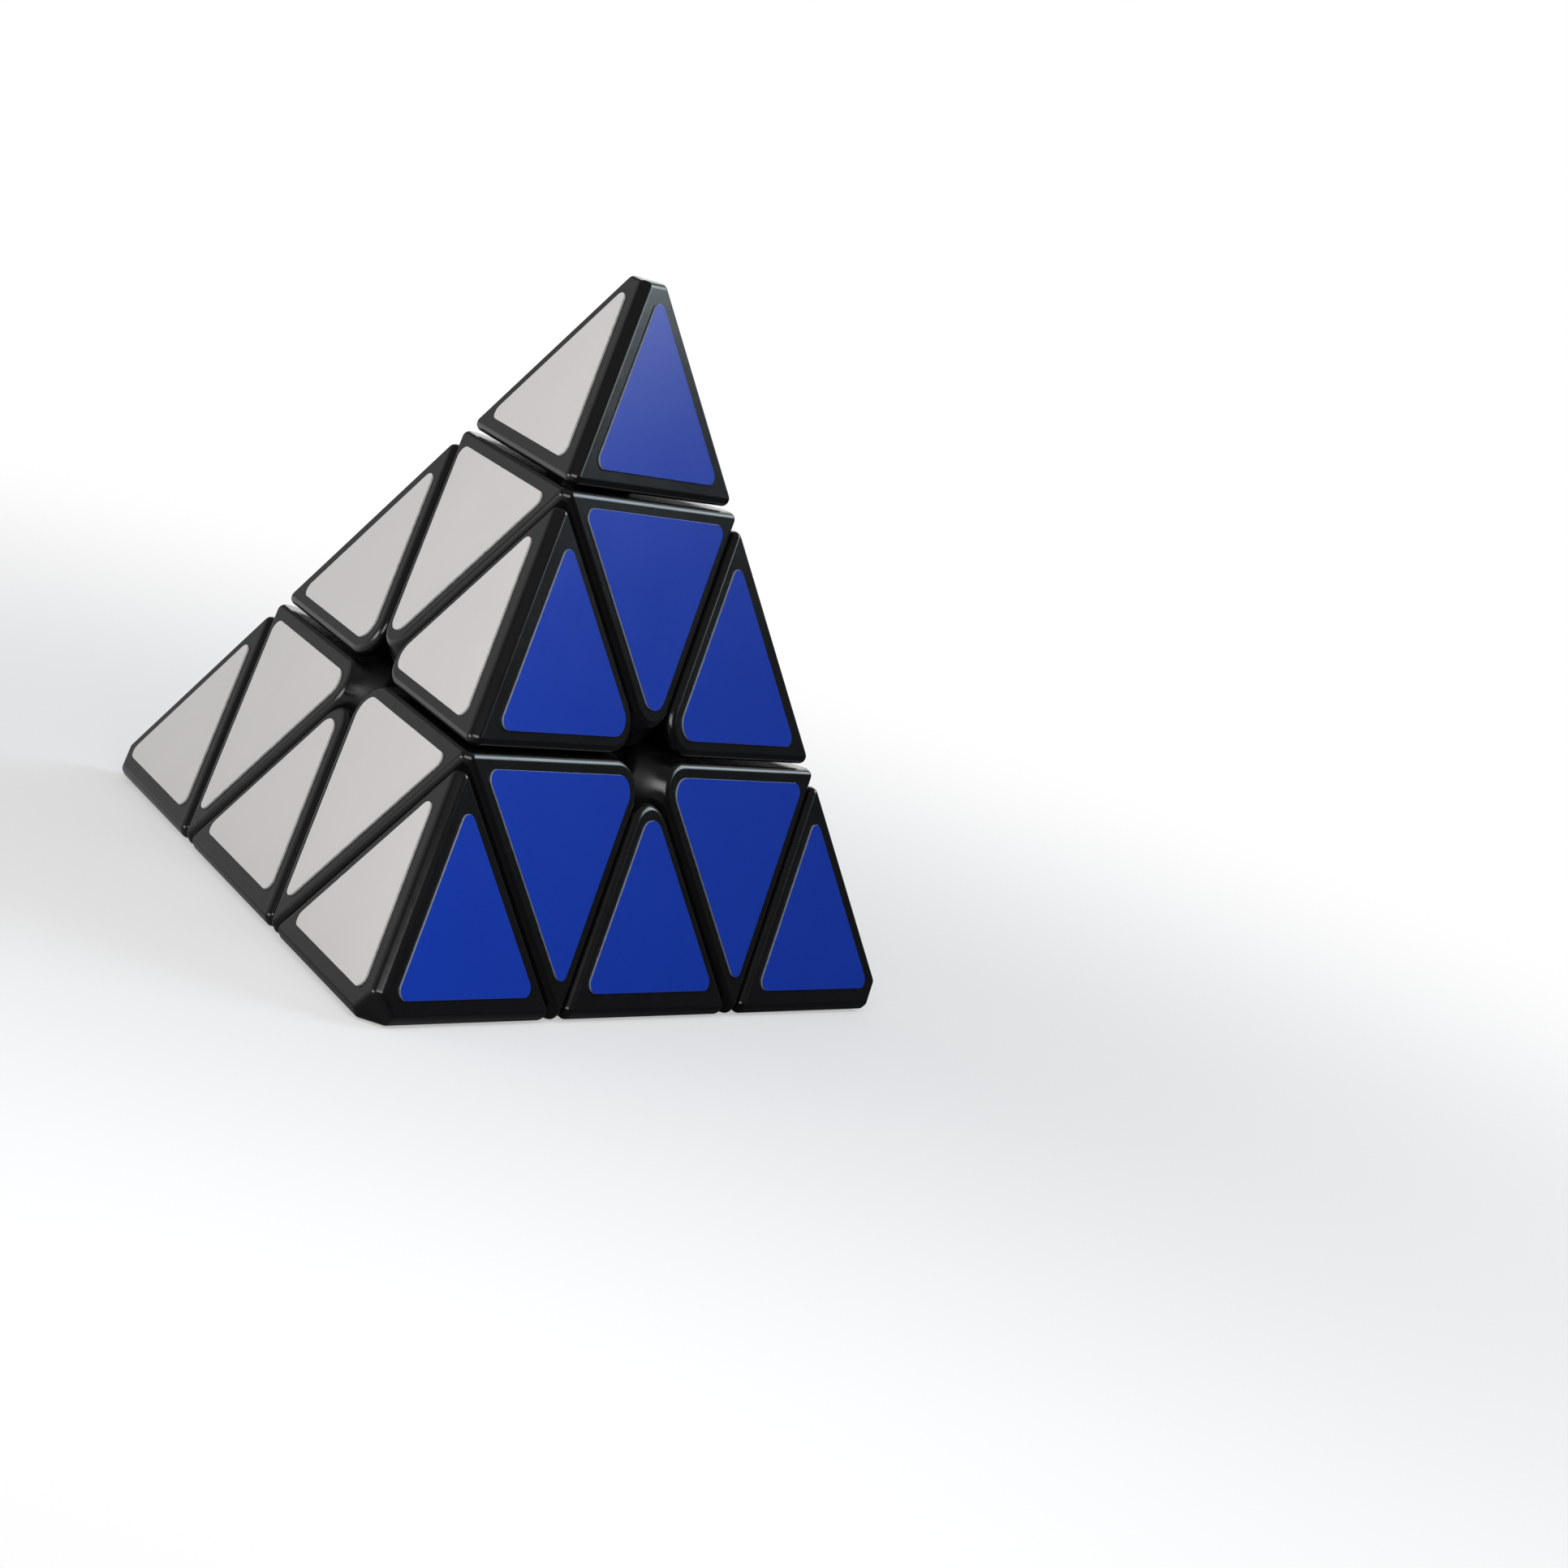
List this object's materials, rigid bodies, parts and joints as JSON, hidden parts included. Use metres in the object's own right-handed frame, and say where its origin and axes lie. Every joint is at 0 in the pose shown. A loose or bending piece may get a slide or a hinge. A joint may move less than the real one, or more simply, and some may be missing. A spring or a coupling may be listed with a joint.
{
  "type": "pyramid twisty puzzle",
  "caption": "Pyramid twisty puzzle: black corner tips, corner blocks and edge blocks with coloured triangle stickers, turning on a sprung core.",
  "frame": {"origin": "middle of the core, where the four turning axes cross", "axes": "+Z to the top corner, -Y towards the front corner, +X towards the right corner; the base face is below"},
  "size_m": [0.096, 0.0841, 0.0791],
  "materials": {
    "black_plastic": "moulded, semi-gloss",
    "core_plastic": "moulded, satin",
    "screw_steel": "plated",
    "spring_steel": "drawn wire",
    "white_vinyl": "satin vinyl, pale grey-white",
    "blue_vinyl": "satin vinyl, deep blue",
    "red_vinyl": "satin vinyl, red",
    "green_vinyl": "satin vinyl, green"
  },
  "bodies": {
    "root": {"core": "core_plastic", "top_screw": "screw_steel", "front_screw": "screw_steel", "left_screw": "screw_steel", "right_screw": "screw_steel", "top_spring": "spring_steel", "front_spring": "spring_steel", "left_spring": "spring_steel", "right_spring": "spring_steel", "front_axial": "black_plastic", "left_axial": "black_plastic", "right_axial": "black_plastic", "front_left_edge": "black_plastic", "front_right_edge": "black_plastic", "left_right_edge": "black_plastic", "green_sticker_front_axial": "green_vinyl", "blue_sticker_front_axial": "blue_vinyl", "white_sticker_front_axial": "white_vinyl", "green_sticker_left_axial": "green_vinyl", "red_sticker_left_axial": "red_vinyl", "white_sticker_left_axial": "white_vinyl", "green_sticker_right_axial": "green_vinyl", "red_sticker_right_axial": "red_vinyl", "blue_sticker_right_axial": "blue_vinyl", "green_sticker_front_left_edge": "green_vinyl", "white_sticker_front_left_edge": "white_vinyl", "green_sticker_front_right_edge": "green_vinyl", "blue_sticker_front_right_edge": "blue_vinyl", "green_sticker_left_right_edge": "green_vinyl", "red_sticker_left_right_edge": "red_vinyl"},
    "top_layer": {"top_axial": "black_plastic", "top_front_edge": "black_plastic", "top_left_edge": "black_plastic", "top_right_edge": "black_plastic", "red_sticker_top_axial": "red_vinyl", "blue_sticker_top_axial": "blue_vinyl", "white_sticker_top_axial": "white_vinyl", "blue_sticker_top_front_edge": "blue_vinyl", "white_sticker_top_front_edge": "white_vinyl", "red_sticker_top_left_edge": "red_vinyl", "white_sticker_top_left_edge": "white_vinyl", "red_sticker_top_right_edge": "red_vinyl", "blue_sticker_top_right_edge": "blue_vinyl"},
    "top_tip_body": {"top_tip": "black_plastic", "red_sticker_top_tip": "red_vinyl", "blue_sticker_top_tip": "blue_vinyl", "white_sticker_top_tip": "white_vinyl"},
    "front_tip_body": {"front_tip": "black_plastic", "green_sticker_front_tip": "green_vinyl", "blue_sticker_front_tip": "blue_vinyl", "white_sticker_front_tip": "white_vinyl"},
    "left_tip_body": {"left_tip": "black_plastic", "green_sticker_left_tip": "green_vinyl", "red_sticker_left_tip": "red_vinyl", "white_sticker_left_tip": "white_vinyl"},
    "right_tip_body": {"right_tip": "black_plastic", "green_sticker_right_tip": "green_vinyl", "red_sticker_right_tip": "red_vinyl", "blue_sticker_right_tip": "blue_vinyl"}
  },
  "joints": [
    {"name": "top_layer_turn", "type": "hinge", "parent": "root", "child": "top_layer", "pos_m": [0, 0, 0], "axis": [0, 0, 1], "continuous": true},
    {"name": "top_tip_turn", "type": "hinge", "parent": "top_layer", "child": "top_tip_body", "pos_m": [0, 0, 0], "axis": [0, 0, 1], "continuous": true},
    {"name": "front_tip_turn", "type": "hinge", "parent": "root", "child": "front_tip_body", "pos_m": [0, 0, 0], "axis": [0, -0.9428, -0.3333], "continuous": true},
    {"name": "left_tip_turn", "type": "hinge", "parent": "root", "child": "left_tip_body", "pos_m": [0, 0, 0], "axis": [-0.8165, 0.4714, -0.3333], "continuous": true},
    {"name": "right_tip_turn", "type": "hinge", "parent": "root", "child": "right_tip_body", "pos_m": [0, 0, 0], "axis": [0.8165, 0.4714, -0.3333], "continuous": true}
  ]
}
